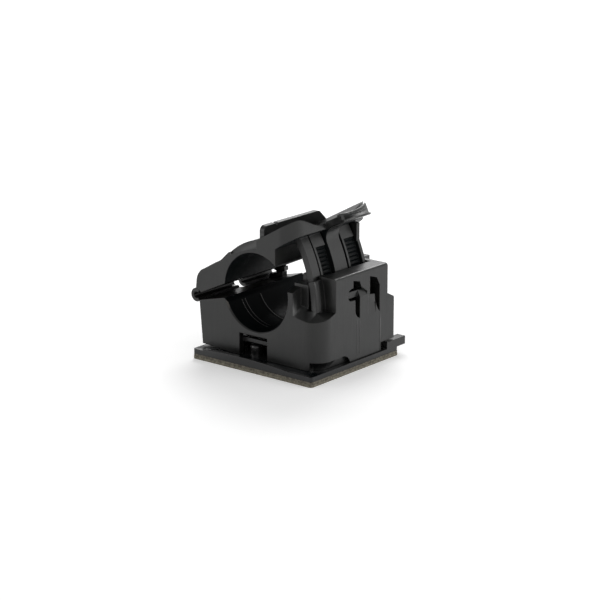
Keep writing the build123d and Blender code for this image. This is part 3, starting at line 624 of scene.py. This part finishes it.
def foam_layer(name, node, finish, seed):
    """A layer of foam with a knife-cut, slightly ragged edge."""
    low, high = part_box(node)
    mesh = bmesh.new()
    outline = pad_outline(low, high, PAD_CORNER)
    middle = Vector(((low[0] + high[0]) / 2, (low[1] + high[1]) / 2))
    rings = []
    for share, tuck in PAD_CUT:
        z = low[2] + (high[2] - low[2]) * share
        ring = []
        for place in outline:
            rough = noise(Vector((place.x, place.y, z)) / PAD_GRAIN + Vector((seed, seed, seed)))
            cut = place + (middle - place).normalized() * (tuck + PAD_RAGGED * (0.5 + rough))
            ring.append(mesh.verts.new((cut.x, cut.y, z)))
        rings.append(ring)
    capped_skin(mesh, rings)
    made = piece(name, mesh, (finish,))
    shade_curves(made, SOFT_CORNER)
    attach(made, "body")
    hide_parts(node)


foam_layer("foam_lower", "foam_layer_lower", foam_pale, 3.0)
foam_layer("foam_upper", "foam_layer_upper", foam_grey, 11.0)


# Ribs round the bore
def rib_tree(finish):
    """A tree that repeats thin arcs along the cable, each a sweep of a small rectangle."""
    tree = bpy.data.node_groups.new("bore_ribs", "GeometryNodeTree")
    inputs = {}
    for name, kind in (("Radius", "NodeSocketFloat"), ("Start Angle", "NodeSocketFloat"),
                       ("Sweep Angle", "NodeSocketFloat"), ("Rib Width", "NodeSocketFloat"),
                       ("Rib Height", "NodeSocketFloat"), ("Count", "NodeSocketInt"),
                       ("Spacing", "NodeSocketFloat"), ("First", "NodeSocketVector")):
        inputs[name] = tree.interface.new_socket(name=name, in_out="INPUT", socket_type=kind).identifier
    tree.interface.new_socket(name="Ribs", in_out="OUTPUT", socket_type="NodeSocketGeometry")
    given = add(tree, "NodeGroupInput")
    out = add(tree, "NodeGroupOutput")
    arc = add(tree, "GeometryNodeCurveArc", mode="RADIUS")
    arc.inputs["Resolution"].default_value = RIB_STEPS
    section = add(tree, "GeometryNodeCurvePrimitiveQuadrilateral", mode="RECTANGLE")
    sweep = add(tree, "GeometryNodeCurveToMesh")
    sweep.inputs["Fill Caps"].default_value = True
    upright = add(tree, "GeometryNodeTransform")
    upright.inputs["Rotation"].default_value = (pi / 2, 0, 0)
    row = add(tree, "GeometryNodeMeshLine", mode="OFFSET")
    step = add(tree, "ShaderNodeCombineXYZ")
    repeat = add(tree, "GeometryNodeInstanceOnPoints")
    real = add(tree, "GeometryNodeRealizeInstances")
    coat = add(tree, "GeometryNodeSetMaterial")
    coat.inputs["Material"].default_value = finish
    join = tree.links.new
    join(given.outputs["Radius"], arc.inputs["Radius"])
    join(given.outputs["Start Angle"], arc.inputs["Start Angle"])
    join(given.outputs["Sweep Angle"], arc.inputs["Sweep Angle"])
    join(given.outputs["Rib Height"], section.inputs["Width"])
    join(given.outputs["Rib Width"], section.inputs["Height"])
    join(arc.outputs["Curve"], sweep.inputs["Curve"])
    join(section.outputs["Curve"], sweep.inputs["Profile Curve"])
    join(sweep.outputs["Mesh"], upright.inputs["Geometry"])
    join(given.outputs["Count"], row.inputs["Count"])
    join(given.outputs["First"], row.inputs["Start Location"])
    join(given.outputs["Spacing"], step.inputs["Y"])
    join(step.outputs[0], row.inputs["Offset"])
    join(row.outputs["Mesh"], repeat.inputs["Points"])
    join(upright.outputs["Geometry"], repeat.inputs["Instance"])
    join(repeat.outputs["Instances"], real.inputs["Geometry"])
    join(real.outputs["Geometry"], coat.inputs["Geometry"])
    join(coat.outputs["Geometry"], out.inputs["Ribs"])
    return tree, inputs


ribs, rib_inputs = rib_tree(body_plastic)


def bore_ribs(name, body, start, sweep, count, first, spacing, height):
    """A row of ribs on one half of the bore, from angle start round by sweep."""
    made = bpy.data.objects.new(name, bpy.data.meshes.new(name))
    bpy.context.scene.collection.objects.link(made)
    row = made.modifiers.new("ribs", "NODES")
    row.node_group = ribs
    for key, value in (("Radius", BORE_RADIUS), ("Start Angle", start), ("Sweep Angle", sweep),
                       ("Rib Width", RIB_WIDTH), ("Rib Height", 2 * height), ("Count", count),
                       ("Spacing", spacing), ("First", (BORE.x, first, BORE.z))):
        row[rib_inputs[key]] = value
    done = settled(made)
    mesh = bmesh.new()
    mesh.from_mesh(done)
    bmesh.ops.remove_doubles(mesh, verts=mesh.verts, dist=SAME_PLACE)
    bmesh.ops.recalc_face_normals(mesh, faces=mesh.faces)
    mesh.to_mesh(done)
    mesh.free()
    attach(made, body)


for rib_row in RIBS:
    bore_ribs(*rib_row)


# Stage
def floor():
    """A wide pale floor that keeps the shadow and looks white to the camera."""
    data = bpy.data.meshes.new("floor")
    half = FLOOR_HALF
    corners = [(-half, -half, 0), (half, -half, 0), (half, half, 0), (-half, half, 0)]
    data.from_pydata(corners, [], [(0, 1, 2, 3)])
    made = bpy.data.objects.new("floor", data)
    bpy.context.scene.collection.objects.link(made)
    finish, tree, shader = material("floor_white")
    shader.inputs["Base Color"].default_value = (FLOOR_PALE, FLOOR_PALE, FLOOR_PALE, 1)
    shader.inputs["Roughness"].default_value = FLOOR_ROUGHNESS
    shader.inputs["Specular IOR Level"].default_value = FLOOR_GLOSS
    glow = add(tree, "ShaderNodeEmission", Strength=FLOOR_GLOW)
    eye = add(tree, "ShaderNodeLightPath")
    both = add(tree, "ShaderNodeAddShader")
    dark = add(tree, "ShaderNodeMixShader")
    none = add(tree, "ShaderNodeEmission", Strength=0.0)
    seen = add(tree, "ShaderNodeMath", operation="MAXIMUM")
    tree.links.new(eye.outputs["Is Camera Ray"], seen.inputs[0])
    tree.links.new(eye.outputs["Is Glossy Ray"], seen.inputs[1])
    tree.links.new(seen.outputs[0], dark.inputs[0])
    tree.links.new(none.outputs[0], dark.inputs[1])
    tree.links.new(glow.outputs[0], dark.inputs[2])
    tree.links.new(shader.outputs[0], both.inputs[0])
    tree.links.new(dark.outputs[0], both.inputs[1])
    tree.links.new(both.outputs[0], tree.nodes["Material Output"].inputs["Surface"])
    data.materials.append(finish)


def sky():
    """White to the eye and low down in gloss, with a darker ceiling, and softer as a light."""
    world = bpy.data.worlds.new("sky")
    bpy.context.scene.world = world
    world.use_nodes = True
    tree = world.node_tree
    tree.nodes.clear()
    out = add(tree, "ShaderNodeOutputWorld")
    seen = add(tree, "ShaderNodeBackground", Strength=SKY_SEEN)
    ceiling = add(tree, "ShaderNodeBackground")
    ceiling.inputs["Color"].default_value = (1, 1, 1, 1)
    soft = add(tree, "ShaderNodeBackground", Strength=SKY_LIGHT)
    seen.inputs["Color"].default_value = (1, 1, 1, 1)
    soft.inputs["Color"].default_value = (1, 1, 1, 1)
    place = add(tree, "ShaderNodeTexCoord")
    height = add(tree, "ShaderNodeSeparateXYZ")
    tree.links.new(place.outputs["Generated"], height.inputs[0])
    dimmed = ramp(tree, height.outputs["Z"], *CEILING_RISE, SKY_SEEN, CEILING)
    tree.links.new(dimmed, ceiling.inputs["Strength"])
    eye = add(tree, "ShaderNodeLightPath")
    direct = add(tree, "ShaderNodeMath", operation="MAXIMUM")
    gloss = add(tree, "ShaderNodeMixShader")
    pick = add(tree, "ShaderNodeMixShader")
    tree.links.new(eye.outputs["Is Camera Ray"], direct.inputs[0])
    tree.links.new(eye.outputs["Is Transmission Ray"], direct.inputs[1])
    tree.links.new(eye.outputs["Is Glossy Ray"], gloss.inputs[0])
    tree.links.new(soft.outputs[0], gloss.inputs[1])
    tree.links.new(ceiling.outputs[0], gloss.inputs[2])
    tree.links.new(direct.outputs[0], pick.inputs[0])
    tree.links.new(gloss.outputs[0], pick.inputs[1])
    tree.links.new(seen.outputs[0], pick.inputs[2])
    tree.links.new(pick.outputs[0], out.inputs["Surface"])


def softbox(name, place, size, power):
    """A soft lamp, aimed at the clip."""
    data = bpy.data.lights.new(name, "AREA")
    data.shape = "RECTANGLE"
    data.size, data.size_y = size
    data.energy = power
    lamp = bpy.data.objects.new(name, data)
    bpy.context.scene.collection.objects.link(lamp)
    lamp.location = Vector(place)
    lamp.rotation_euler = (LAMP_AIM - lamp.location).to_track_quat("-Z", "Y").to_euler()


camera()
floor()
sky()
for lamp_row in LAMPS:
    softbox(*lamp_row)
bpy.context.scene.view_settings.view_transform = "Standard"
